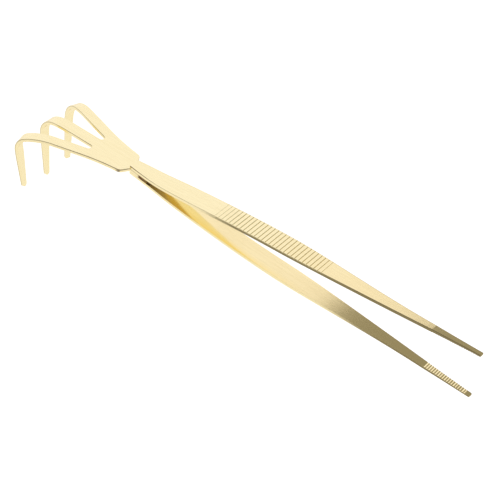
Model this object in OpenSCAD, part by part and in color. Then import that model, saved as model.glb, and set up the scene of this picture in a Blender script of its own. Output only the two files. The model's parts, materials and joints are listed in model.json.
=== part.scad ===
// Aquascaping tweezers with a three-tine rake on the butt end.
//
// Two stamped spring-strip arms are spot-welded onto the tang of a rake, one above it and one
// below it, so the butt is a flat sandwich of three sheets. Squeezing the grip bends each arm
// just past the welds and brings the serrated jaws together.
//
// +X runs from the rake to the tips, +Y is across the arms and +Z is the upper arm's outer side.
// The origin is the centre of the welded stack. Along an arm, s is the distance from its butt.

/* [Sheet] */
// Thickness of the spring strip that each arm is stamped from
arm_t = 1.2; // [1:0.1:1.4]
// Thickness of the rake's sheet
rake_t = 1.5; // [1.2:0.1:1.8]

/* [Arms] */
// Length of an arm from its butt to its tip
arm_len = 168; // [150:1:190]
// Width of an arm at its butt
butt_w = 5.4; // [4.6:0.1:6.4]
// Width of an arm along the finger grip
grip_w = 9.9; // [9:0.1:11]
// Length of the flat, welded end of an arm
weld_len = 10; // [9:0.5:11]
// How far each arm turns to close the jaws, in degrees
close_angle = 3.93; // [3.7:0.01:4.1]

/* [Grip] */
// Number of cross grooves in the outer face of an arm
groove_count = 30; // [10:1:30]
// Distance from one groove to the next
groove_pitch = 1.78; // [1.5:0.01:1.78]
// Distance from the butt to the first groove
groove_start = 45.4; // [40:0.1:50]
// Width of a groove
groove_w = 0.35; // [0.3:0.05:0.8]

/* [Jaws] */
// Length of the flat gripping face at the tip
jaw_len = 21.5; // [18:0.5:24]
// Distance from one tooth to the next
tooth_pitch = 1.02; // [0.8:0.01:1.3]
// Width of the notch between two teeth
notch_w = 0.55; // [0.3:0.05:0.7]
// Smooth length left at the very tip
smooth_tip = 1.6; // [1:0.1:3]
// Width of the tip
tip_w = 2.2; // [1.4:0.1:2.6]
// Thickness of the tip
tip_t = 0.7; // [0.5:0.05:1]

/* [Rake] */
// Angle between an outer tine and the middle one, in degrees
splay = 16.5; // [12:0.5:18]
// Distance from the arms' butt ends to the line where the tines start to droop
bend_start = 35; // [33:0.1:37]
// Radius on which a tine droops, at the middle of the sheet
ease_r = 30; // [20:1:40]
// Angle of the droop, in degrees
ease_angle = 13; // [8:1:20]
// Radius of the tight bend that follows, at the middle of the sheet
bend_r = 8.7; // [6:0.1:11]
// Angle that a tine turns through altogether, in degrees
bend_angle = 96; // [90:1:100]
// Straight length of a tine below its bend
tine_drop = 22; // [16:0.5:24]
// Width of the middle tine
middle_tine_w = 5.6; // [5:0.1:6.5]
// Width of an outer tine
outer_tine_w = 4.7; // [4:0.1:5.5]
// Width of a tine's tip
tine_tip_w = 2.3; // [1.6:0.1:3]
// Radius of the round end of a slot between two tines
slot_r = 1.25; // [1:0.05:1.5]

/* [Hidden] */

// Radius of the corners at the tip of an arm.
tip_round = 0.6;
$fn = 48;
GOLD = [0.93, 0.80, 0.50];
PALE_GOLD = [0.96, 0.86, 0.62];
WELD = [0.72, 0.66, 0.52];

face_z = rake_t / 2;                        // inner face of an arm where it lies on the tang
flex_s = weld_len + 2;                      // the flexure that an arm turns about
flex_gap = 0.05;                            // running gap round the flexure
pivot_z = face_z + arm_t / 2;
wide = 3 * grip_w;                          // longer than any cut across an arm

// The tip is as high as it has to be for the jaws to close flat, with a hair's gap, at close_angle.
closed_gap = 0.02;
jaw_s = arm_len - jaw_len;
tip_z = pivot_z
    + (closed_gap - pivot_z + (arm_len - flex_s) * sin(close_angle)) / cos(close_angle);
jaw_z = tip_z - jaw_len * tan(close_angle);

// Points along a cubic curve through four control points.
function curve(p, steps = 10) = [
    for (i = [0 : steps])
        let (t = i / steps, u = 1 - t)
            u * u * u * p[0] + 3 * u * u * t * p[1] + 3 * u * t * t * p[2] + t * t * t * p[3]
];

// Inner face of an arm seen from the side: flat on the tang, a flexure, a straight rise, a shallow
// bow under the fingers, and the straight jaw.
rise = 0.1;                                 // slope of the straight rise
rise_z = face_z + 0.7;
bow_s = 48;
bow_z = rise_z + rise * (bow_s - weld_len - 11);
bow_end = [100, 7.2];
inner_line = concat(
    [[0, face_z]],
    curve([[weld_len, face_z], [weld_len + 4, face_z],
           [weld_len + 7, rise_z - rise * 4], [weld_len + 11, rise_z]], 8),
    curve([[bow_s, bow_z], [bow_s + 18, bow_z + rise * 18], bow_end - [20, 0.6], bow_end], 12),
    curve([bow_end, bow_end + [18, 0.54],
           [jaw_s - 16, jaw_z - 16 * tan(close_angle)], [jaw_s, jaw_z]], 12),
    [[arm_len, tip_z]]
);

// Sheet thickness along an arm: constant, then ground thinner towards the tip.
function thickness(s) = s < jaw_s ? arm_t : arm_t - (arm_t - tip_t) * (s - jaw_s) / jaw_len;
function outer_z(s) = lookup(s, inner_line) + thickness(s);

// Half of an arm's outline seen from above, from butt to tip.
half_outline = concat(
    curve([[0, butt_w / 2], [9, butt_w / 2 + 1.2], [20, grip_w / 2], [42, grip_w / 2]]),
    curve([[76, grip_w / 2], [96, grip_w / 2], [125, tip_w / 2 + 0.65],
           [arm_len - tip_round, tip_w / 2]], 16),
    [for (a = [75 : -15 : 15])
        [arm_len - tip_round * (1 - cos(a)), tip_w / 2 - tip_round * (1 - sin(a))]]
);

module mirrored_outline(half, end) {
    polygon(concat(half, [end], [for (i = [len(half) - 1 : -1 : 0]) [half[i].x, -half[i].y]]));
}

// The whole upper arm in its own s, y, z frame, before its grooves are cut.
module arm_blank() {
    side = concat(
        inner_line,
        [for (i = [len(inner_line) - 1 : -1 : 0])
            [inner_line[i].x, inner_line[i].y + thickness(inner_line[i].x)]]
    );
    intersection() {
        rotate([90, 0, 0])
            linear_extrude(wide, center = true)
                polygon(side);
        linear_extrude(4 * tip_z, center = true)
            mirrored_outline(half_outline, [arm_len, 0]);
    }
}

// A notch across an arm, with its corner pointing down into the face it is cut in.
module notch(width) {
    side = width / sqrt(2);
    rotate([0, 45, 0])
        cube([side, wide, side], center = true);
}

module grip_grooves() {
    for (i = [0 : groove_count - 1]) {
        s = groove_start + i * groove_pitch;
        translate([s, 0, outer_z(s)])
            notch(groove_w);
    }
}

module jaw_notches() {
    count = floor((jaw_len - smooth_tip) / tooth_pitch);
    translate([jaw_s, 0, jaw_z])
        rotate([0, -close_angle, 0])
            for (i = [0 : count - 1])
                translate([(i + 0.5) * tooth_pitch, 0, 0])
                    notch(notch_w);
}

module flexure_pin(radius) {
    translate([flex_s, 0, pivot_z])
        rotate([90, 0, 0])
            cylinder(r = radius, h = wide, center = true);
}

// Everything on the tip side of the flexure.
module blade() {
    difference() {
        intersection() {
            arm_blank();
            union() {
                translate([flex_s, -wide / 2, -tip_z])
                    cube([arm_len, wide, 4 * tip_z]);
                flexure_pin(arm_t / 2);
            }
        }
        grip_grooves();
        jaw_notches();
    }
}

// The welded end of an arm, with pockets for the weld nuggets.
module root() {
    difference() {
        intersection() {
            arm_blank();
            translate([0, -wide / 2, 0])
                cube([flex_s, wide, tip_z]);
        }
        flexure_pin(arm_t / 2 + flex_gap);
        nuggets();
    }
}

// Two weld nuggets that reach half way into each arm through the tang.
nugget_r = 1.1;
nugget_h = rake_t + arm_t;
nugget_s = [0.3, 0.72] * weld_len;
module nuggets() {
    for (s = nugget_s)
        translate([s, 0, 0])
            cylinder(r = nugget_r, h = nugget_h, center = true);
}

// An outer tine's centre line passes outer_tine_y to the side of the middle one, at the distance
// outer_tine_back behind the butt.
outer_tine_y = 12.9;
outer_tine_back = 38.1;
function tine_y(back) = outer_tine_y - tan(splay) * (outer_tine_back - back);

// Edge of an outer tine, at a distance back from the butt: side 1 is outside and -1 inside.
function tine_edge_y(side, back) = tine_y(back) + side * outer_tine_w / 2 / cos(splay);

// Corner of an outer tine at the line where it starts to droop.
function tine_corner(side) =
    [-bend_start, tine_y(bend_start)] + side * outer_tine_w / 2 * [sin(splay), cos(splay)];

// The slot between the middle tine and an outer one is a wedge with a round end. Its straight
// sides would meet at slot_apex.
slot_apex = [
    -outer_tine_back + (tine_edge_y(-1, outer_tine_back) - middle_tine_w / 2) / tan(splay),
    middle_tine_w / 2
];
slot_centre = slot_apex + slot_r / sin(splay / 2) * [-cos(splay / 2), sin(splay / 2)];
slot_end = [
    for (a = [90 - splay : -(180 - splay) / 12 : -90.01])
        slot_centre + slot_r * [cos(a), sin(a)]
];

// The tang has a half-round end between the arms, then lies flush with their edges.
tang_flush = 0.65 * weld_len;
tang_neck = 0.9;
function arm_half_width(s) = lookup(s, half_outline);
tang = concat(
    [for (a = [15 : 15 : 75])
        [tang_flush + (weld_len - tang_flush) * cos(a), arm_half_width(tang_flush) * sin(a)]],
    [for (i = [0 : 4])
        let (s = tang_flush + (tang_neck - tang_flush) * i / 4)
            [s, arm_half_width(s)]]
);

// One side of the plate, from the tang round the shoulder, down the flank and along the tines.
shoulder = [-3.1, 6.6];
flank_back = 21;
flank_end = [-flank_back, tine_edge_y(1, flank_back)];
half_plate = concat(
    tang,
    curve([[0, butt_w / 2 + 0.15], [-1.4, 4.8], shoulder + [1.5, -0.4], shoulder], 6),
    curve([shoulder, shoulder + [-6.5, 0.8], flank_end + [5.5, -5.5 * tan(splay)], flank_end]),
    [tine_corner(1), tine_corner(-1)],
    slot_end,
    [[-bend_start, middle_tine_w / 2]]
);

// Side view of a tine: a short flat overlap with the plate, a droop on ease_r, a tight bend on
// bend_r and a straight drop. The offset is measured from the middle of the sheet.
overlap = 0.4;
tight_centre = (ease_r - bend_r) * direction(ease_angle) - [0, ease_r];
function direction(angle) = [sin(angle), cos(angle)];
function bend_line(offset) = concat(
    [for (i = [0 : 3])
        (ease_r + offset) * direction(ease_angle * i / 4) - [0, ease_r]],
    [for (i = [0 : 16])
        tight_centre
        + (bend_r + offset) * direction(ease_angle + (bend_angle - ease_angle) * i / 16)]
);
function reversed(list) = [for (i = [len(list) - 1 : -1 : 0]) list[i]];
module tine_profile() {
    outside = bend_line(rake_t / 2);
    inside = bend_line(-rake_t / 2);
    drop = tine_drop * [cos(bend_angle), -sin(bend_angle)];
    polygon(concat(
        [[-overlap, rake_t / 2]],
        outside,
        [outside[len(outside) - 1] + drop, inside[len(inside) - 1] + drop],
        reversed(inside),
        [[-overlap, -rake_t / 2]]
    ));
}

// A tine from the line where it starts to droop: it leaves along +X, turns down through the bend
// and narrows to a round tip.
module bent_tine(half_w) {
    bend_end_z = tight_centre.y + bend_r * cos(bend_angle);
    tip_z_low = bend_end_z - tine_drop * sin(bend_angle);
    reach = tight_centre.x + bend_r + rake_t;
    tip_r = tine_tip_w / 2;
    intersection() {
        rotate([90, 0, 0])
            linear_extrude(wide, center = true)
                tine_profile();
        rotate([90, 0, 90])
            linear_extrude(2 * reach, center = true)
                polygon(concat(
                    [[half_w, rake_t], [-half_w, rake_t], [-half_w, -rake_t]],
                    [for (a = [180 : 20 : 360])
                        [tip_r * cos(a), tip_z_low + tip_r * (1 + sin(a))]],
                    [[half_w, -rake_t]]
                ));
    }
}

// Moves something drawn from the butt so that the origin is the centre of the welded stack.
module from_butt() {
    translate([-weld_len / 2, 0, 0])
        children();
}

module rake() {
    color(PALE_GOLD)
        from_butt() {
            difference() {
                linear_extrude(rake_t, center = true)
                    mirrored_outline(half_plate, [-bend_start, 0]);
                nuggets();
            }
            translate([-bend_start, 0, 0])
                rotate([0, 0, 180])
                    bent_tine(middle_tine_w / 2);
            for (side = [0, 1])
                mirror([0, side])
                    translate([-bend_start, tine_y(bend_start), 0])
                        rotate([0, 0, 180 - splay])
                            bent_tine(outer_tine_w / 2);
        }
}

module upper_arm_root() {
    color(PALE_GOLD)
        from_butt()
            root();
}

module upper_arm() {
    color(GOLD)
        from_butt()
            blade();
}

module lower_arm_root() {
    color(PALE_GOLD)
        from_butt()
            mirror([0, 0, 1])
                root();
}

module lower_arm() {
    color(GOLD)
        from_butt()
            mirror([0, 0, 1])
                blade();
}

module spot_welds() {
    color(WELD)
        from_butt()
            nuggets();
}

rake();
upper_arm_root();
upper_arm();
lower_arm_root();
lower_arm();
spot_welds();
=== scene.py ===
import json
import math

import bmesh
import bpy
import numpy as np
from mathutils import Matrix, Vector


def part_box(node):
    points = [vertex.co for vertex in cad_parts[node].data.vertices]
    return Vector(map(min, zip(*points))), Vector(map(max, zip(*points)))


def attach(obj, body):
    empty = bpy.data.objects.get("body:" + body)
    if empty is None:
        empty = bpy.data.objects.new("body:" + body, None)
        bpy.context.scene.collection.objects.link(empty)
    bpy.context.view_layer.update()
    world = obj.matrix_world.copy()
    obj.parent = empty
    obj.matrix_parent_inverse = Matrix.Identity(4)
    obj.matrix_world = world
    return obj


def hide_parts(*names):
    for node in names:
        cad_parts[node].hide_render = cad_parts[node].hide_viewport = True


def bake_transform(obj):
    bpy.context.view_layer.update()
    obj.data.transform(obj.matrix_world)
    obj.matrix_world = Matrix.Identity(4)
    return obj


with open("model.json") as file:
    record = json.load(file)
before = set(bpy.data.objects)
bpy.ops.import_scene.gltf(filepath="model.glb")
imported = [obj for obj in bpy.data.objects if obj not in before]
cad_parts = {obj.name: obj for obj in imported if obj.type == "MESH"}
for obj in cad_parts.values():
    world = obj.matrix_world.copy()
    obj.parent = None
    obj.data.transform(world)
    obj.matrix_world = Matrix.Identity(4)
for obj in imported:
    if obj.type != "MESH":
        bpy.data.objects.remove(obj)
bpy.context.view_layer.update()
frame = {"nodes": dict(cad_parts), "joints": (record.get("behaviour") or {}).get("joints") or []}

# Aquascaping tweezers: two gold-coloured spring arms welded onto the tang of a three-tine rake.
# The frame gives the sizes. Shapes are worked out in millimetres in the frame's own axes:
# +X towards the tips, +Y across the arms, +Z out of the upper arm's outer face.

MM = 0.001


# ---------------------------------------------------------------- sizes read from the frame

def box_mm(node):
    low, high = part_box(node)
    return np.array(low) / MM, np.array(high) / MM


root_low, root_high = box_mm("upper_arm_root")
blade_high = box_mm("upper_arm")[1]
flex = next(j for j in frame["joints"] if j["child"] == "upper_blade")

BUTT_X = root_low[0]
TIP_X = blade_high[0]
ARM_LENGTH = TIP_X - BUTT_X
GRIP_HALF = blade_high[1]
FACE_Z = root_low[2]                       # inner face of an arm where it is welded
ARM_THICK = root_high[2] - root_low[2]
RAKE_THICK = 2 * FACE_Z
PIVOT_X = flex["pos_m"][0] / MM
PIVOT_Z = flex["pos_m"][2] / MM
CLOSE = math.radians(flex["range_deg"][1])
WELD_LENGTH = -2 * BUTT_X                  # the origin is the middle of the weld

# ---------------------------------------------------------------- shape of an arm

BUTT_HALF = 2.7                            # half widths of an arm at its two ends
TIP_HALF = 1.1
TIP_ROUND = 0.6                            # radius of the tip's corners, seen from above
TIP_THICK = 0.7                            # the jaw is ground down to this at the tip
JAW_LENGTH = 21.5
JAW_START = ARM_LENGTH - JAW_LENGTH
CLOSED_GAP = 0.02                          # from a shut jaw to the plane between the jaws
TIP_Z = PIVOT_Z + (
    CLOSED_GAP - PIVOT_Z + (TIP_X - PIVOT_X) * math.sin(CLOSE)
) / math.cos(CLOSE)
JAW_Z = TIP_Z - JAW_LENGTH * math.tan(CLOSE)

GROOVES = 30
GROOVE_PITCH = 1.78
GROOVE_START = 45.4
GROOVE_WIDTH = 0.34
GROOVE_DEPTH = 0.16

TOOTH_PITCH = 1.02
TOOTH_RISE = 0.68                          # parts of the pitch: the long face towards the root,
TOOTH_CREST = 0.1                          # then the flat crest; the rest is the short face
TOOTH_DEPTH = 0.17
SMOOTH_TIP = 1.6                           # no teeth on this last part of the jaw

# How far the edges of an arm's section roll over, across the arm and down its side.
OUTER_ROLL = (0.32, 0.13)                  # both edges of the outer face
INNER_ROLL = (0.16, 0.08)                  # the inner face's +Y edge
CRISP_ROLL = (0.04, 0.03)                  # the inner face's -Y edge
ROLL_LIMIT = 0.3                           # no roll takes more of the width or thickness
END_ROUND = 0.15                           # the edges round the butt's end face
TIP_BEVEL = (0.3, 0.12)                    # the tip's end: how far back, and how deep
FACE_PARTS = 6                             # an arm's section: parts across a face
CORNER_STEPS = 5                           # and round a rolled edge

# The "edge" attribute paints light and shade on the metal: 0 is plated gold, 1 a painted dark
# reflection on an edge,
# 2 painted deep shade where the arms meet the rake, and below zero a painted highlight. These pairs
# give it on the far (+Y) and near (-Y) side of an arm, and the painted warm reflection of the
# "warm" attribute, against the distance from the butt.
# painted dark reflection on the far edges, towards the tips
FAR_TINT = ([88, 104], [0.0, 0.9])
FAR_OUTER_LEAST = 0.3                      # the outer face's far edge always takes this much painted dark reflection
# painted shade on the near side: deepest by the butt, light along the grip, dark again at the jaw
NEAR_TINT = ([0, 3, 6, 11, 15, 100, 112], [2.2, 2.0, 1.3, 0.7, 0.3, 0.3, 1.2])
WARMTH = ([14, 32, 60, 92], [0, 0.8, 1, 0])


def curve(points, steps=60):
    """Points along a cubic curve through four control points."""
    t = np.linspace(0, 1, steps)[:, None]
    u = 1 - t
    p = np.array(points, float)
    return u**3 * p[0] + 3 * u * u * t * p[1] + 3 * u * t * t * p[2] + t**3 * p[3]


def smooth_step(t):
    """A smooth step from 0 to 1 as t goes from 0 to 1."""
    t = np.clip(t, 0, 1)
    return t * t * (3 - 2 * t)


def arm_side_line():
    """Height of an upper arm's inner face against the distance from its butt: flat at the weld,
    a curve up to a straight slope, a long bow, then the jaw, which is flat when shut."""
    slope = 0.1
    rise = np.array([WELD_LENGTH + 11, FACE_Z + 0.7])
    bow_start = 48
    bow = np.array([bow_start, rise[1] + slope * (bow_start - rise[0])])
    bow_end = np.array([100, 7.2])
    jaw = np.array([JAW_START, JAW_Z])
    return np.vstack([
        [[0, FACE_Z]],
        curve([[WELD_LENGTH, FACE_Z], [WELD_LENGTH + 4, FACE_Z],
               rise - [4, 4 * slope], rise]),
        curve([bow, bow + [18, 18 * slope], bow_end - [20, 0.6], bow_end]),
        curve([bow_end, bow_end + [18, 0.54],
               jaw - [16, 16 * math.tan(CLOSE)], jaw]),
        [[ARM_LENGTH, TIP_Z]],
    ])


def arm_half_outline():
    """Half width of an arm against the distance from its butt: widest along the grip. The tip's
    rounded corners are left to half_width."""
    return np.vstack([
        curve([[0, BUTT_HALF], [9, BUTT_HALF + 1.2], [20, GRIP_HALF], [42, GRIP_HALF]]),
        curve([[76, GRIP_HALF], [96, GRIP_HALF], [125, TIP_HALF + 0.65],
               [ARM_LENGTH - TIP_ROUND, TIP_HALF]]),
    ])


SIDE_LINE = arm_side_line()
HALF_OUTLINE = arm_half_outline()


def inner_z(s):
    return np.interp(s, SIDE_LINE[:, 0], SIDE_LINE[:, 1])


def lower_sag(s):
    """The lower arm is bowed a little more than the upper one, from the weld to the grip."""
    deepest = 0.5
    return deepest * smooth_step((s - 4) / 16) * (1 - smooth_step((s - 50) / 50))


def thickness(s):
    ground = np.clip((s - JAW_START) / JAW_LENGTH, 0, 1)
    return ARM_THICK + (TIP_THICK - ARM_THICK) * ground


def half_width(s):
    width = np.interp(s, HALF_OUTLINE[:, 0], HALF_OUTLINE[:, 1])
    over = np.clip(s - (ARM_LENGTH - TIP_ROUND), 0, TIP_ROUND)
    rounded = TIP_HALF - TIP_ROUND + np.sqrt(np.maximum(TIP_ROUND**2 - over**2, 0))
    return np.where(over > 0, rounded, width)


def groove_centres():
    return GROOVE_START + GROOVE_PITCH * np.arange(GROOVES)


def groove_sizes():
    """The roller bit less at both ends of the grip: the size of each groove, 1 for a full one."""
    number = np.arange(GROOVES)
    return np.minimum(1, np.minimum(0.35 + 0.13 * number, 0.55 + 0.3 * (GROOVES - 1 - number)))


def groove_cut(s):
    """Depth of the cross grooves of the grip at a distance s from the butt."""
    away = np.abs(s - groove_centres())
    i = away.argmin()
    size = groove_sizes()[i]
    return GROOVE_DEPTH * size * max(0.0, 1 - away[i] / (GROOVE_WIDTH * size / 2))


def tooth_roots():
    """Distances from the butt to the bottoms of the notches between the jaw's teeth."""
    count = int((JAW_LENGTH - SMOOTH_TIP) / TOOTH_PITCH)
    return JAW_START + (np.arange(count) + 0.5) * TOOTH_PITCH * math.cos(CLOSE)


def tooth_cut(s):
    """Depth of the jaw's teeth: each has a long face towards the root and a short one behind."""
    roots = tooth_roots()
    pitch = roots[1] - roots[0]
    phase = (s - roots[0]) / pitch
    if phase < TOOTH_RISE + TOOTH_CREST - 1 or s > roots[-1] + pitch * TOOTH_RISE:
        return 0.0
    part = phase % 1
    if part < TOOTH_RISE:
        return TOOTH_DEPTH * (1 - part / TOOTH_RISE)
    fall_start = TOOTH_RISE + TOOTH_CREST
    return TOOTH_DEPTH * max(0.0, (part - fall_start) / (1 - fall_start))


def arm_stations(spacing=1.4):
    """Distances from the butt at which the arm's section is drawn."""
    grooves = groove_centres()
    roots = tooth_roots()
    pitch = roots[1] - roots[0]
    exact = [0.0, END_ROUND * 0.3, END_ROUND, JAW_START]
    for side in (-0.5, 0, 0.5):
        exact += list(grooves + side * GROOVE_WIDTH * groove_sizes())
    for part in (0, TOOTH_RISE, TOOTH_RISE + TOOTH_CREST):
        exact += list(roots + part * pitch)
    exact.append(roots[0] - (1 - TOOTH_RISE - TOOTH_CREST) * pitch)
    exact = [s for s in exact if s < ARM_LENGTH - TIP_ROUND - 0.05]
    exact += [
        ARM_LENGTH - TIP_ROUND * (1 - math.sin(a))
        for a in np.radians([0, 20, 40, 55, 70, 82, 90])
    ]
    between = [
        s for s in np.arange(1.0, ARM_LENGTH - 1, spacing)
        if np.abs(s - np.array(exact)).min() > 0.1
    ]
    return sorted(exact + between)


def corner(centre_y, centre_z, roll, start, tint):
    """Points round one rolled edge of the section, a quarter turn from the start angle."""
    points = []
    for i in range(CORNER_STEPS + 1):
        angle = math.radians(start - 90 * i / CORNER_STEPS)
        y = centre_y + roll[0] * math.cos(angle)
        z = centre_z + roll[1] * math.sin(angle)
        points.append((y, z, tint if 0 < i < CORNER_STEPS else 0.0))
    return points


def section(half, low, high, far_tint, near_tint):
    """A closed loop of (y, z, edge) round an arm: outer face, +Y side, inner face, -Y side."""
    limit = [ROLL_LIMIT * half, ROLL_LIMIT * (high - low)]
    a = np.minimum(OUTER_ROLL, limit)
    b = np.minimum(INNER_ROLL, limit)
    c = np.minimum(CRISP_ROLL, limit)
    outer = np.linspace(-half + a[0], half - a[0], FACE_PARTS + 1)[1:-1]
    inner = np.linspace(half - b[0], -half + c[0], FACE_PARTS + 1)[1:-1]
    loop = [(y, high, 0) for y in outer]
    loop += corner(half - a[0], high - a[1], a, 90, max(FAR_OUTER_LEAST, far_tint))
    loop += corner(half - b[0], low + b[1], b, 0, far_tint)
    loop += [(y, low, 0) for y in inner]
    loop += corner(-half + c[0], low + c[1], c, -90, 0.0)
    loop += corner(-half + a[0], high - a[1], a, 180, near_tint)
    return loop


# Places in a section's loop: where the far side's edges start, where the near side's start, and
# the ones by the inner face's near edge that take the painted warm reflection, each with its part
# of it.
FAR_SIDE = FACE_PARTS - 1
NEAR_SIDE = 2 * (FACE_PARTS + CORNER_STEPS)
WARM_PLACES = ((NEAR_SIDE - 1, 0.35), (NEAR_SIDE, 1), (NEAR_SIDE + 1, 1))


def corner_ends():
    """Places in a section's loop where a flat face meets a rolled edge."""
    ends = (0, CORNER_STEPS, CORNER_STEPS + 1, 2 * CORNER_STEPS + 1)
    return [side + end for side in (FAR_SIDE, NEAR_SIDE) for end in ends]


def arm_loops():
    """The upper arm's sections, each a loop of (x, y, z, edge)."""
    loops = []
    for s in arm_stations():
        inset = END_ROUND * (1 - math.sqrt(max(0, 1 - (1 - min(s / END_ROUND, 1)) ** 2)))
        tip_inset = TIP_BEVEL[1] * max(0.0, 1 - (ARM_LENGTH - s) / TIP_BEVEL[0]) ** 2
        low = inner_z(s) + tooth_cut(s)
        high = inner_z(s) + thickness(s) - groove_cut(s)
        loop = section(
            float(half_width(s)) - inset, low + inset + tip_inset, high - inset - tip_inset,
            float(np.interp(s, *FAR_TINT)), float(np.interp(s, *NEAR_TINT)),
        )
        loops.append([(BUTT_X + s, y, z, edge) for y, z, edge in loop])
    return loops


def finish_mesh(bm, name, sharp_angle=40):
    """Turns a bmesh in millimetres into a smooth-shaded object in metres."""
    bmesh.ops.recalc_face_normals(bm, faces=bm.faces)
    bm.normal_update()
    for face in bm.faces:
        face.smooth = True
    for edge in bm.edges:
        if edge.calc_face_angle(0) > math.radians(sharp_angle):
            edge.smooth = False
    bmesh.ops.scale(bm, vec=(MM, MM, MM), verts=bm.verts)
    mesh = bpy.data.meshes.new(name)
    bm.to_mesh(mesh)
    bm.free()
    obj = bpy.data.objects.new(name, mesh)
    bpy.context.scene.collection.objects.link(obj)
    return obj


def build_arm(name, side):
    """One whole arm, from butt to tip: side is 1 for the upper arm and -1 for the lower."""
    bm = bmesh.new()
    edge_layer = bm.verts.layers.float.new("edge")
    warm_layer = bm.verts.layers.float.new("warm")
    rings = []
    for loop in arm_loops():
        ring = []
        s = loop[0][0] - BUTT_X
        sag = 0 if side > 0 else float(lower_sag(s))
        for x, y, z, edge in loop:
            vert = bm.verts.new((x, y, side * z - sag))
            vert[edge_layer] = edge
            ring.append(vert)
        for place, part in WARM_PLACES:
            ring[place][warm_layer] = part * float(np.interp(s, *WARMTH))
        rings.append(ring)
    count = len(rings[0])
    for a, b in zip(rings, rings[1:]):
        for i in range(count):
            j = (i + 1) % count
            bm.faces.new((a[i], a[j], b[j], b[i]))
        for i in corner_ends():
            bm.edges.get((a[i], b[i])).smooth = False
    crease = min(rings, key=lambda ring: abs(ring[0].co.x - BUTT_X - JAW_START))
    for i in range(count):
        bm.edges.get((crease[i], crease[(i + 1) % count])).smooth = False
    bm.faces.new(rings[0])
    bm.faces.new(rings[-1])
    return finish_mesh(bm, name)


# ---------------------------------------------------------------- shape of the rake

rake_low = box_mm("rake")[0]
SPLAY = math.radians(16.5)
OUTER_TINE_BACK = 38.1                     # an outer tine's centre line passes this far behind
OUTER_TINE_Y = 12.9                        # the butt and this far to the side
MIDDLE_HALF = 2.8
OUTER_HALF = 2.35
SLOT_R = 1.25
TANG_FLUSH = 6.5                           # the tang's edges are flush with the arms' up to here
TOP_ROUND = 0.15                           # radius of the rake's edges above and below
UNDER_ROUND = 0.1
EASE_R = 30.0                              # a tine droops on this radius before its tight bend
BEND_CUTS = 22                             # sections of a tine over its bend, and the places of
DROP_CUTS = np.array([0.25, 0.5, 0.75])    # those along the straight drop below it

# The painted light and shade of the rake's sides: pairs against the distance behind the butt.
BAND = (0.17, 0.35, 0.65)                  # depths under the top face where the tint changes
TINT_CUTS = (-5.6, -5, 22, 30, 36)         # and distances behind the butt
TANG_SIDES = -4.6                          # from here on the side is the tang's, between the arms
# painted deep shade on the tang's sides between the arms
TANG_TINT = ([-9, -6.6, -5.6, -5], [1.6, 2.0, 2.0, 0.4])
# painted dark reflection line under the top edge
DARK_TINT = ([-0.2, 0.3, 2.8, 3.6, 4.8, 22, 30, 36], [0.3, 1.3, 1.45, 1.2, 0.85, 0.85, 0.6, 0.5])
PALE_TINT = (                              # painted highlight band; below zero the shoulder's corner is painted dark all through
    [0.3, 1.9, 2.6, 3.4, 4.8, 22, 30, 36, 40],
    [0.4, 0.4, -1.2, -1.0, 0.5, 0.7, 0.9, 0.9, 0.2],
)


class Tine:
    """One tine: straight in the plate, then an easy droop, a tight bend and a straight drop."""

    def __init__(self, side, start, ease, radius, turn, angle, drop, taper_start, tip_half):
        self.taper_start = taper_start
        self.tip_half = tip_half
        self.half = OUTER_HALF if side else MIDDLE_HALF
        splay = SPLAY if side else 0.0
        self.direction = np.array([-math.cos(splay), side * math.sin(splay)])
        y = OUTER_TINE_Y - (OUTER_TINE_BACK - start) * math.tan(SPLAY)
        self.origin = np.array([BUTT_X - start, side * y])
        turn = math.radians(turn)
        self.along = np.array([-math.cos(turn), side * math.sin(turn)])
        self.ease = math.radians(ease)
        self.radius = radius
        self.angle = math.radians(angle)
        self.bend_length = EASE_R * self.ease + radius * (self.angle - self.ease)
        self.length = self.bend_length + drop

    def bent(self, distance, offset):
        """How far along the tine and how high a point comes to lie, from its distance along the
        flat blank and its offset from the middle of the sheet."""
        ease_length = EASE_R * self.ease
        angle = min(distance / EASE_R, self.ease)
        along = (EASE_R + offset) * math.sin(angle)
        height = (EASE_R + offset) * math.cos(angle) - EASE_R
        if distance > ease_length:
            angle = min(self.ease + (distance - ease_length) / self.radius, self.angle)
            gap = EASE_R - self.radius
            along = gap * math.sin(self.ease) + (self.radius + offset) * math.sin(angle)
            height = gap * math.cos(self.ease) - EASE_R + (self.radius + offset) * math.cos(angle)
        straight = max(0.0, distance - self.bend_length)
        return along + straight * math.cos(angle), height - straight * math.sin(angle)

    def move(self, point):
        """Where the bends take a point of the flat blank."""
        flat = np.array(point[:2])
        distance = float((flat - self.origin) @ self.along)
        if distance <= 0:
            return point
        along, height = self.bent(distance, point[2])
        return (*(flat + self.along * (along - distance)), height)


TINES = [
    # side, start of the bend, easy angle, tight radius, turn, whole angle, drop, taper, tip
    Tine(-1, 33.2, 24, 6.0, 15, 100, 19.7, 24, 1.2),
    Tine(0, 35.4, 12, 8.6, 0, 96, 22.4, 4, 1.1),
    Tine(1, 35.6, 9, 10.8, 18, 94, 22.4, 4, 1.1),
]


def tine_outline(tine, steps=7):
    """Both edges and the round tip of a flat tine, from its +Y edge round to its -Y edge."""
    along = tine.direction
    left = np.array([along[1], -along[0]])
    shoulder = tine.origin + along * tine.taper_start
    tip = tine.origin + along * (tine.length - tine.tip_half)
    points = [tine.origin + left * tine.half, shoulder + left * tine.half]
    for a in np.linspace(0, math.pi, steps):
        points.append(tip + (left * math.cos(a) + along * math.sin(a)) * tine.tip_half)
    return points + [shoulder - left * tine.half, tine.origin - left * tine.half]


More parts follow.
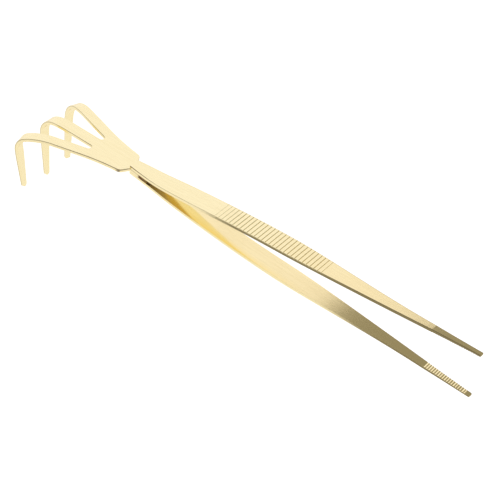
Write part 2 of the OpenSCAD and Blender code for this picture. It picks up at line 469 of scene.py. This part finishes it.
def slot_end_points(steps=12):
    """The round end of the slot between the middle tine and the one on the +Y side."""
    inner_edge = OUTER_TINE_Y - OUTER_HALF / math.cos(SPLAY)
    apex_x = BUTT_X - OUTER_TINE_BACK + (inner_edge - MIDDLE_HALF) / math.tan(SPLAY)
    reach = SLOT_R / math.sin(SPLAY / 2)
    centre = np.array([apex_x, MIDDLE_HALF])
    centre += reach * np.array([-math.cos(SPLAY / 2), math.sin(SPLAY / 2)])
    angles = np.linspace(math.pi / 2 - SPLAY, -math.pi / 2, steps)
    return [centre + SLOT_R * np.array([math.cos(a), math.sin(a)]) for a in angles]


def tang_outline():
    """The tang's +Y edge: a round end between the arms, then flush with their edges."""
    half = float(half_width(TANG_FLUSH))
    round_end = [
        np.array([TANG_FLUSH + (WELD_LENGTH - TANG_FLUSH) * math.cos(a), half * math.sin(a)])
        for a in np.radians([0, 15, 30, 45, 60, 75])
    ]
    edge = [np.array([s, float(half_width(s))]) for s in np.linspace(TANG_FLUSH, 0.9, 5)]
    return [p + np.array([BUTT_X, 0]) for p in round_end + edge]


def flank_outline():
    """From the tang round the shoulder and down the flank to the +Y tine."""
    flank_back = 21.0
    flank_end = np.array([
        BUTT_X - flank_back,
        OUTER_TINE_Y - math.tan(SPLAY) * (OUTER_TINE_BACK - flank_back)
        + OUTER_HALF / math.cos(SPLAY),
    ])
    shoulder = np.array([BUTT_X - 3.1, 6.6])
    neck = np.array([BUTT_X, BUTT_HALF + 0.15])
    return [
        *curve([neck, [BUTT_X - 1.4, 4.8], shoulder + [1.5, -0.4], shoulder], 8),
        *curve([shoulder, shoulder + [-6.5, 0.8],
                flank_end + [5.5, -5.5 * math.tan(SPLAY)], flank_end], 14)[1:],
    ]


def rake_outline():
    """The rake as a flat blank, seen from above, anticlockwise from the end of the tang."""
    tang, flank, slot = tang_outline(), flank_outline(), slot_end_points()
    outline = tang + flank + tine_outline(TINES[2]) + slot + tine_outline(TINES[1])
    for part in (slot, flank, tang):
        mirrored = [np.array([p[0], -p[1]]) for p in reversed(part)]
        outline += mirrored + tine_outline(TINES[0]) if part is slot else mirrored
    return outline[:-1]                    # the last point is the first one again


def cut_across(bm, faces, origin, normal):
    """Cuts the given faces with a plane and returns the faces they became."""
    parts = set(faces)
    for face in faces:
        parts.update(face.edges)
        parts.update(face.verts)
    before = set(bm.faces)
    result = bmesh.ops.bisect_plane(
        bm, geom=list(parts), dist=1e-6, plane_co=Vector(origin), plane_no=Vector(normal)
    )
    kept = {f for f in result["geom"] if isinstance(f, bmesh.types.BMFace)}
    return [f for f in bm.faces if f in kept or f not in before]


def painted_side_shading(x, down):
    """Painted light and shade on the rake's sides, against the depth below the top face: a painted
    dark reflection line under the top edge, then a painted highlight band that fades out where the
    tines bend down."""
    if down < 0.01 or down > RAKE_THICK - 0.01:
        return 0.0
    along = BUTT_X - x
    if along < TANG_SIDES:
        return float(np.interp(along, *TANG_TINT))
    dark = float(np.interp(along, *DARK_TINT))
    pale = float(np.interp(along, *PALE_TINT))
    return float(np.interp(down, [0.0, 0.04, BAND[1], BAND[2], RAKE_THICK],
                           [0.0, dark, dark, -pale, -pale]))


def build_rake(name):
    """The rake in one piece: a flat blank with rounded rims, cut across so that it takes the
    painted light and shade and the bends, then bent tine by tine."""
    bm = bmesh.new()
    edge_layer = bm.verts.layers.float.new("edge")
    top = RAKE_THICK / 2
    base = [bm.verts.new((p[0], p[1], -top)) for p in rake_outline()]
    raised = bmesh.ops.extrude_face_region(bm, geom=[bm.faces.new(base)])
    raised = [v for v in raised["geom"] if isinstance(v, bmesh.types.BMVert)]
    bmesh.ops.translate(bm, vec=(0, 0, RAKE_THICK), verts=raised)
    bmesh.ops.recalc_face_normals(bm, faces=bm.faces)
    for height, radius, segments in ((-top, UNDER_ROUND, 3), (top, TOP_ROUND, 5)):
        rim = [e for e in bm.edges if all(abs(v.co.z - height) < 1e-6 for v in e.verts)]
        bmesh.ops.bevel(
            bm, geom=rim, offset=radius, segments=segments, profile=0.5, affect="EDGES",
            clamp_overlap=True,
        )
    for down in BAND:
        bmesh.ops.bisect_plane(
            bm, geom=[*bm.verts, *bm.edges, *bm.faces], dist=1e-6,
            plane_co=Vector((0, 0, top - down)), plane_no=Vector((0, 0, 1)),
        )
    for along in TINT_CUTS:
        cut_across(bm, list(bm.faces), (BUTT_X - along, 0, 0), (1, 0, 0))
    # painted light and shade on the rake's sides
    for vert in bm.verts:
        vert[edge_layer] = painted_side_shading(vert.co.x, top - vert.co.z)

    slot = slot_end_points()
    split_x = min(p[0] for p in slot) - 2.0    # behind this the tines are apart
    slot_y = slot[0][1] - SLOT_R * 0.8         # a line that runs down the slot
    cut_across(bm, list(bm.faces), (split_x, 0, 0), (1, 0, 0))

    def tine_at(y):
        return TINES[1] if abs(y) < slot_y else TINES[0 if y < 0 else 2]

    for tine in TINES:
        faces = []
        for face in bm.faces:
            middle = face.calc_center_median()
            if middle.x < split_x and tine_at(middle.y) is tine:
                faces.append(face)
        bend = tine.bend_length
        drop = (tine.length - bend) * DROP_CUTS
        for step in [*np.linspace(0, bend, BEND_CUTS), *(bend + drop)]:
            place = tine.origin + tine.along * step
            faces = cut_across(bm, faces, (*place, 0), (*tine.along, 0))
    for vert in bm.verts:
        if vert.co.x < split_x:
            vert.co = Vector(tine_at(vert.co.y).move(tuple(vert.co)))
    obj = finish_mesh(bm, name)
    weighted = obj.modifiers.new("weighted_normals", "WEIGHTED_NORMAL")
    weighted.keep_sharp = True
    return obj


# ---------------------------------------------------------------- materials

GOLD = (0.98, 0.885, 0.545)
DEEP_GOLD = (0.91, 0.80, 0.46)
WARM_REFLECTION_GOLD = (0.985, 0.81, 0.32)            # painted reflection: warmer gold along the inner faces' near edges
EDGE_SHADE = (0.30, 0.25, 0.16)               # painted shade: dark reflections along the sheet's edges and sides
EDGE_HIGHLIGHT = (1.0, 0.97, 0.88)            # painted highlight on the edges and the rake's sides
JOINT_SHADE_BROWN = (0.17, 0.09, 0.03)            # painted deep shade on the tang's end and sides between the arms, and the arms' near edges by the butt
STEEL = (0.52, 0.50, 0.47)
HEATED_STEEL = (0.34, 0.30, 0.27)
CLOUD_SCALE = (35, 1100, 1100)             # broad streaks over the fine ones, per metre
STREAK_HEIGHT = 0.00002                    # in metres

DEEP_GLOW = (1.0, 0.85, 0.78)              # light caught between the arms
GLOW_START, GLOW_FULL = BUTT_X + 7, BUTT_X + 28
GLOW_LEAST, GLOW_MOST = 0.1, 0.66          # its strength at those two places


class Nodes:
    """A small helper that builds a node tree one node at a time."""

    def __init__(self, tree):
        self.tree = tree
        tree.nodes.clear()

    def add(self, kind, inputs=None, **settings):
        node = self.tree.nodes.new(kind)
        for key, value in settings.items():
            setattr(node, key, value)
        for key, value in (inputs or {}).items():
            socket = node.inputs[key]
            if isinstance(value, bpy.types.NodeSocket):
                self.tree.links.new(value, socket)
            else:
                socket.default_value = value
        return node

    def mix(self, factor, a, b):
        """A colour between a and b."""
        node = self.add("ShaderNodeMix", {0: factor, 6: a, 7: b}, data_type="RGBA")
        return node.outputs[2]

    def math(self, operation, *values):
        return self.add("ShaderNodeMath", dict(enumerate(values)), operation=operation).outputs[0]

    def span(self, value, start, end, low=0.0, high=1.0, kind="LINEAR"):
        """Goes from low to high as the value goes from start to end, and stays level outside."""
        return self.add(
            "ShaderNodeMapRange",
            {"Value": value, "From Min": start, "From Max": end, "To Min": low, "To Max": high},
            interpolation_type=kind,
        ).outputs["Result"]

    def ramp(self, value, low, high):
        """Maps a 0 to 1 value to low..high."""
        return self.span(value, 0.0, 1.0, low, high)

    def position(self):
        """X, Y and Z of the point that is shaded, in metres."""
        place = self.add("ShaderNodeNewGeometry").outputs["Position"]
        return self.add("ShaderNodeSeparateXYZ", {"Vector": place}).outputs

    def reflected(self, least):
        """1 for what is seen through at least this many reflections, otherwise 0."""
        depth = self.add("ShaderNodeLightPath").outputs["Glossy Depth"]
        return self.math("GREATER_THAN", depth, least - 0.5)

    def seen_directly(self):
        """1 for what the camera sees itself, otherwise 0."""
        return self.add("ShaderNodeLightPath").outputs["Is Camera Ray"]

    def glow(self, colour, strength=1.0):
        light = self.add("ShaderNodeEmission", {"Color": colour, "Strength": strength})
        return light.outputs["Emission"]

    def mix_shaders(self, factor, a, b):
        return self.add("ShaderNodeMixShader", {0: factor, 1: a, 2: b}).outputs["Shader"]


def new_material(name):
    material = bpy.data.materials.new(name)
    material.use_nodes = True
    return material, Nodes(material.node_tree)


def streaks(nodes, scale, detail=3.0):
    """Fine lines along X, as a brushing belt leaves them: a 0 to 1 value."""
    coords = nodes.add("ShaderNodeTexCoord").outputs["Object"]
    stretched = nodes.add("ShaderNodeMapping", {"Vector": coords, "Scale": scale})
    return nodes.add(
        "ShaderNodeTexNoise",
        {"Vector": stretched.outputs["Vector"], "Scale": 1.0, "Detail": detail, "Roughness": 0.6},
    ).outputs["Fac"]


def gold_material(name, roughness, streak_strength, streak_scale):
    """Gold-coloured plating on sheet steel: brushed faces, with painted shade, highlights and a
    warm reflection on the edges by their tint.
    """
    material, nodes = new_material(name)
    lines = streaks(nodes, streak_scale)
    cloud = streaks(nodes, CLOUD_SCALE, 2.0)
    edge = nodes.add("ShaderNodeAttribute", attribute_name="edge").outputs["Fac"]
    warm = nodes.add("ShaderNodeAttribute", attribute_name="warm").outputs["Fac"]
    grain = nodes.math("MULTIPLY", cloud, lines)
    colour = nodes.mix(nodes.ramp(grain, -0.3, 1.9), (*GOLD, 1), (*DEEP_GOLD, 1))
    # painted dark reflections on the edges
    colour = nodes.mix(nodes.ramp(edge, 0.0, 0.85), colour, (*EDGE_SHADE, 1))
    # painted highlights on the edges
    colour = nodes.mix(nodes.ramp(edge, 0.0, -1.0), colour, (*EDGE_HIGHLIGHT, 1))
    # painted warm reflection along the inner faces' near edges
    colour = nodes.mix(warm, colour, (*WARM_REFLECTION_GOLD, 1))
    # painted deep shade where the arms meet the rake
    joint_shade = nodes.ramp(nodes.math("SUBTRACT", edge, 1.2), 0.0, 1.25)
    colour = nodes.mix(joint_shade, colour, (*JOINT_SHADE_BROWN, 1))
    rough = nodes.math(
        "MULTIPLY",
        nodes.ramp(lines, roughness * 0.75, roughness * 1.25), nodes.ramp(cloud, 0.9, 1.15),
    )
    bump = nodes.add(
        "ShaderNodeBump",
        {"Strength": streak_strength, "Distance": STREAK_HEIGHT, "Height": lines},
    ).outputs["Normal"]
    metal = nodes.add(
        "ShaderNodeBsdfPrincipled",
        {"Base Color": colour, "Metallic": 1.0, "Roughness": rough, "Normal": bump},
    ).outputs["BSDF"]
    # Light that has bounced many times between the arms ends as a glow, brown where they meet.
    strength = nodes.span(
        nodes.position()["X"], GLOW_START * MM, GLOW_FULL * MM, GLOW_LEAST, GLOW_MOST
    )
    deep = nodes.glow((*DEEP_GLOW, 1), strength)
    surface = nodes.mix_shaders(nodes.reflected(3), metal, deep)
    nodes.add("ShaderNodeOutputMaterial", {"Surface": surface})
    return material


def weld_material():
    """Fused steel of the weld nuggets, mottled by heat."""
    material, nodes = new_material("weld_metal")
    mottle = streaks(nodes, (900, 900, 900))
    surface = nodes.add(
        "ShaderNodeBsdfPrincipled",
        {"Base Color": nodes.mix(mottle, (*STEEL, 1), (*HEATED_STEEL, 1)), "Metallic": 1.0,
         "Roughness": nodes.ramp(mottle, 0.3, 0.55)},
    ).outputs["BSDF"]
    nodes.add("ShaderNodeOutputMaterial", {"Surface": surface})
    return material


def set_material(obj, material):
    obj.data.materials.clear()
    obj.data.materials.append(material)


# ---------------------------------------------------------------- studio

WHITE = (1.02, 0.985, 1.02)
WARM_WHITE = (0.99, 0.90, 0.84)            # the panel is dimmer and warmer towards its right edge
SHEET_WHITE = (0.98, 0.93, 0.90)
ROOM = (0.315, 0.28, 0.215)
FLOOR_ROOM = tuple(0.8 * np.array(ROOM))   # the floor past the sheet, in reflections
FAR_GLOW = (0.62, 0.50, 0.25)              # what a reflection in a reflection sees of the room
SOFT_LIGHTS = (                            # direction, strength and cosine of the half width
    ((0.62, 0.08, 0.78), 1.0, 0.86),
    ((0.45, -0.75, 0.5), 1.0, 0.74),
    ((-0.85, -0.45, 0.45), 0.6, 0.74),
)
LIGHT_FADE = 0.1                           # they reach full strength over this much more

PANEL_Y = 300                              # the panel stands this far behind the tweezers,
PANEL_LEFT, PANEL_EDGE = -1500, 107        # between these places at the height of the welds
PANEL_LOW, PANEL_HIGH = -30, 1300
PANEL_LEAN = 0.45                          # its right edge leans to the left as it rises
PANEL_FADE = 130                           # it gets its full white this far in from that edge

FLOOR_GAP = 0.5                            # the floor is just under the tines
FLOOR_HALF = 6000
FLOOR_GLOW = 0.9                           # to the camera the floor has light of its own
FLOOR_GREY = (0.5, 0.5, 0.5)               # on top of a grey paper's

# In reflections the white sheet on the floor ends at a line in front of the tweezers. The line
# slants back with X. At X = 0 it would be the first of these distances in front of them where it
# is left of the turn, and the second where it is right of it.
SHEET_SLANT = 0.27
SHEET_FRONT = (44, 53.2)
SHEET_TURN = (30, 80)
SHEET_SOFT = 1                             # half the width of the line's soft edge


def only_reflections(obj):
    """Leaves an object of the studio visible in reflections only."""
    obj.visible_camera = False
    obj.visible_shadow = False
    obj.visible_diffuse = False


def add_plane(name, corners, material):
    mesh = bpy.data.meshes.new(name)
    mesh.from_pydata([tuple(np.array(c) * MM) for c in corners], [], [(0, 1, 2, 3)])
    obj = bpy.data.objects.new(name, mesh)
    bpy.context.scene.collection.objects.link(obj)
    obj.data.materials.append(material)
    return obj


def panel_material():
    """Plain white light that turns warmer towards the panel's right edge."""
    material, nodes = new_material("soft_panel")
    place = nodes.position()
    across = nodes.math("MULTIPLY_ADD", place["Z"], PANEL_LEAN, place["X"])
    inward = nodes.span(across, PANEL_EDGE * MM, (PANEL_EDGE - PANEL_FADE) * MM)
    light = nodes.glow(nodes.mix(inward, (*WARM_WHITE, 1), (*WHITE, 1)))
    nodes.add("ShaderNodeOutputMaterial", {"Surface": light})
    return material


def add_panel():
    """A tall soft panel behind the tweezers; its right edge is about level with the welds."""
    only_reflections(add_plane("soft_panel", [
        (PANEL_LEFT, PANEL_Y, PANEL_LOW),
        (PANEL_EDGE - PANEL_LEAN * PANEL_LOW, PANEL_Y, PANEL_LOW),
        (PANEL_EDGE - PANEL_LEAN * PANEL_HIGH, PANEL_Y, PANEL_HIGH),
        (PANEL_LEFT, PANEL_Y, PANEL_HIGH),
    ], panel_material()))


def floor_material():
    """A white sheet to the camera. In reflections the sheet ends a little in front of the arms."""
    material, nodes = new_material("pale_floor")
    place = nodes.position()
    slant = nodes.math("MULTIPLY_ADD", place["X"], -SHEET_SLANT, place["Y"])
    front = nodes.span(
        place["X"], *(MM * np.array(SHEET_TURN)), *(MM * np.array(SHEET_FRONT)), "SMOOTHSTEP"
    )
    sheet = nodes.span(
        nodes.math("ADD", slant, front), -SHEET_SOFT * MM, SHEET_SOFT * MM, kind="SMOOTHSTEP"
    )
    room = nodes.mix(nodes.reflected(2), (*FLOOR_ROOM, 1), (*FAR_GLOW, 1))
    in_mirror = nodes.mix_shaders(sheet, nodes.glow(room), nodes.glow((*SHEET_WHITE, 1)))
    paper = nodes.add("ShaderNodeBsdfDiffuse", {"Color": (*FLOOR_GREY, 1)}).outputs["BSDF"]
    lit = nodes.glow((1, 1, 1, 1), FLOOR_GLOW)
    direct = nodes.add("ShaderNodeAddShader", {0: lit, 1: paper}).outputs["Shader"]
    above = nodes.mix_shaders(nodes.seen_directly(), in_mirror, direct)
    under = nodes.add("ShaderNodeNewGeometry").outputs["Backfacing"]
    clear = nodes.add("ShaderNodeBsdfTransparent").outputs["BSDF"]
    nodes.add("ShaderNodeOutputMaterial", {"Surface": nodes.mix_shaders(under, above, clear)})
    return material


def add_floor():
    """The floor in front of the camera; it takes shadows but throws none."""
    corners = [
        (side_x * FLOOR_HALF, side_y * FLOOR_HALF, rake_low[2] - FLOOR_GAP)
        for side_x, side_y in ((-1, -1), (1, -1), (1, 1), (-1, 1))
    ]
    add_plane("floor", corners, floor_material()).visible_shadow = False


def build_world():
    """White behind the tweezers; in reflections a dim warm room with the soft lights in it."""
    world = bpy.data.worlds.new("studio")
    world.use_nodes = True
    nodes = Nodes(world.node_tree)
    colour = nodes.mix(nodes.reflected(2), (*ROOM, 1), (*FAR_GLOW, 1))
    ray = nodes.add("ShaderNodeTexCoord").outputs["Generated"]
    for direction, strength, edge in SOFT_LIGHTS:
        facing = nodes.add(
            "ShaderNodeVectorMath", {0: ray, 1: tuple(Vector(direction).normalized())},
            operation="DOT_PRODUCT",
        ).outputs["Value"]
        lit = nodes.span(facing, edge, edge + LIGHT_FADE, 0.0, strength, "SMOOTHSTEP")
        colour = nodes.mix(lit, colour, (*WHITE, 1))
    room = nodes.add("ShaderNodeBackground", {"Color": colour, "Strength": 1.0})
    white = nodes.add("ShaderNodeBackground", {"Color": (1, 1, 1, 1), "Strength": 1.0})
    surface = nodes.mix_shaders(nodes.seen_directly(), room.outputs[0], white.outputs[0])
    nodes.add("ShaderNodeOutputWorld", {"Surface": surface})
    bpy.context.scene.world = world


# ---------------------------------------------------------------- camera

VIEW_AZIMUTH = math.radians(30.27)
VIEW_ELEVATION = math.radians(42.5)
VIEW_ROLL = math.radians(9.86)
VIEW_DISTANCE = 716.5
VIEW_TARGET = (71.8, 0, 0)
LENS = 131.5
SENSOR_WIDTH = 36
SHIFT = (-0.0661, 0.0154)                  # of the lens, in parts of the picture's width
FAR_CLIP = 50                              # in metres, well past the floor's end


def add_camera():
    """The camera, which turns about its own axis by the roll."""
    back = np.array([                      # from the target to the camera
        math.sin(VIEW_AZIMUTH) * math.cos(VIEW_ELEVATION),
        -math.cos(VIEW_AZIMUTH) * math.cos(VIEW_ELEVATION),
        math.sin(VIEW_ELEVATION),
    ])
    level = np.cross((0, 0, 1), back)
    level /= np.linalg.norm(level)
    right = math.cos(VIEW_ROLL) * level + math.sin(VIEW_ROLL) * np.cross(back, level)
    up = np.cross(back, right)
    data = bpy.data.cameras.new("camera")
    data.lens = LENS
    data.sensor_width = SENSOR_WIDTH
    data.shift_x, data.shift_y = SHIFT
    data.clip_end = FAR_CLIP
    camera = bpy.data.objects.new("camera", data)
    place = (np.array(VIEW_TARGET) + back * VIEW_DISTANCE) * MM
    camera.matrix_world = Matrix.Translation(place) @ Matrix(np.array([right, up, back]).T).to_4x4()
    bpy.context.scene.collection.objects.link(camera)
    bpy.context.scene.camera = camera


# ---------------------------------------------------------------- the tweezers

arm_gold = gold_material(
    "brushed_gold", roughness=0.115, streak_strength=0.2, streak_scale=(120, 5200, 5200)
)
rake_gold = gold_material(
    "polished_gold", roughness=0.12, streak_strength=0.12, streak_scale=(200, 3600, 3600)
)

for arm_name, arm_side, nodes_replaced, blade_body in (
    ("upper_arm_strip", 1, ("upper_arm_root", "upper_arm"), "upper_blade"),
    ("lower_arm_strip", -1, ("lower_arm_root", "lower_arm"), "lower_blade"),
):
    arm = build_arm(arm_name, arm_side)
    set_material(arm, arm_gold)
    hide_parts(*nodes_replaced)
    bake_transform(arm)

rake = build_rake("rake_plate")
set_material(rake, rake_gold)
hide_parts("rake")
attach(rake, "stack")

set_material(frame["nodes"]["spot_welds"], weld_material())

add_floor()
add_panel()
build_world()
add_camera()
bpy.context.scene.view_settings.view_transform = "Standard"
